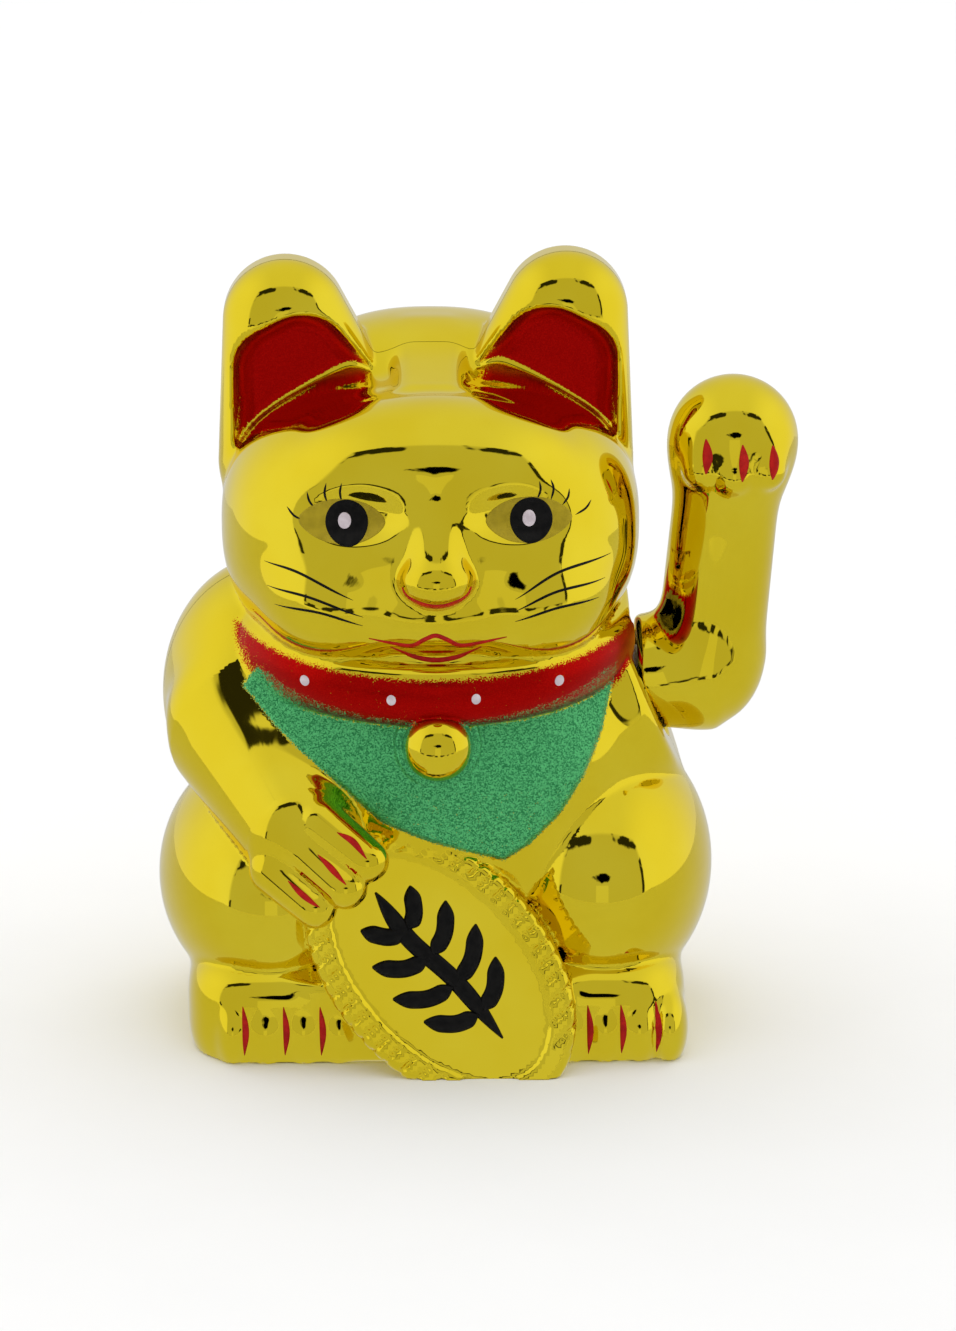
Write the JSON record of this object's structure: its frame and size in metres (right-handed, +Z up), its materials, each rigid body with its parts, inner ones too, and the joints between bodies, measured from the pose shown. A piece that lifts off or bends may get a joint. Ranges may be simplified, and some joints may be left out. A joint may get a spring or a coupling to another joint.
{
  "type": "beckoning cat figurine",
  "caption": "Seated gold cat figurine with a raised arm that rocks on a battery-driven pendulum inside the hollow body, over an oval base plate with a battery door.",
  "frame": {"origin": "on the resting plane, under the cat's midline, in the plane where the front and rear shells meet", "axes": "+Z up, the cat faces -Y, the raised arm is on its +X side"},
  "size_m": [0.1207, 0.088, 0.15],
  "materials": {
    "gold_plating": "vacuum metallised and lacquered gold, mirror bright",
    "white_plastic": "moulded, natural white",
    "dark_plastic": "moulded, black",
    "black_plastic": "moulded, fine spark texture",
    "bright_steel": "ground rod",
    "spring_steel": "phosphated spring clip",
    "nickelled_magnet": "nickel plated",
    "zinc_steel": "zinc plated",
    "screw_steel": "zinc plated",
    "copper_winding": "enamelled wire, close wound",
    "enamelled_copper": "enamelled wire",
    "board_laminate": "phenolic paper board",
    "component_black": "moulded epoxy",
    "resistor_body": "lacquered with coloured bands",
    "capacitor_sleeve": "shrink sleeve on an aluminium can",
    "cell_jacket": "printed sleeve, nickel ends",
    "nickel_contact": "nickel plated",
    "red_insulation": "soft PVC",
    "black_insulation": "soft PVC",
    "red_paint": "sprayed or brushed gloss red over the plating",
    "black_paint": "printed or brushed gloss black over the plating",
    "white_paint": "dabbed white over the paint below",
    "olive_paint": "thin dark lacquer over the plating"
  },
  "bodies": {
    "body": {"base_plate": "black_plastic", "base_screws": "screw_steel", "battery_cell": "cell_jacket", "black_lead": "black_insulation", "board_screws": "screw_steel", "capacitor": "capacitor_sleeve", "circuit_board": "board_laminate", "coil_bobbin": "dark_plastic", "coil_lead_end": "enamelled_copper", "coil_lead_start": "enamelled_copper", "coil_winding": "copper_winding", "contact_plate": "nickel_contact", "contact_spring": "nickel_contact", "frame_screws": "screw_steel", "front_shell": "gold_plating", "movement_frame": "white_plastic", "rear_shell": "gold_plating", "red_lead": "red_insulation", "resistor": "resistor_body", "transistor": "component_black"},
    "arm": {"arm_front_shell": "gold_plating", "arm_rear_shell": "gold_plating", "arm_hub": "white_plastic", "pivot_axle": "bright_steel", "axle_clips": "spring_steel", "pendulum_lever": "white_plastic", "pendulum_magnet": "nickelled_magnet", "pendulum_weight": "zinc_steel"},
    "door": {"battery_door": "black_plastic"}
  },
  "joints": [
    {"name": "arm_swing", "type": "hinge", "parent": "body", "child": "arm", "pos_m": [0.02, 0.002, 0.066], "axis": [1, 0, 0], "range_deg": [-20, 20]},
    {"name": "door_hinge", "type": "hinge", "parent": "body", "child": "door", "pos_m": [-0.0284, -0.014, 0.0002], "axis": [0, 1, 0], "range_deg": [0, 60]}
  ]
}
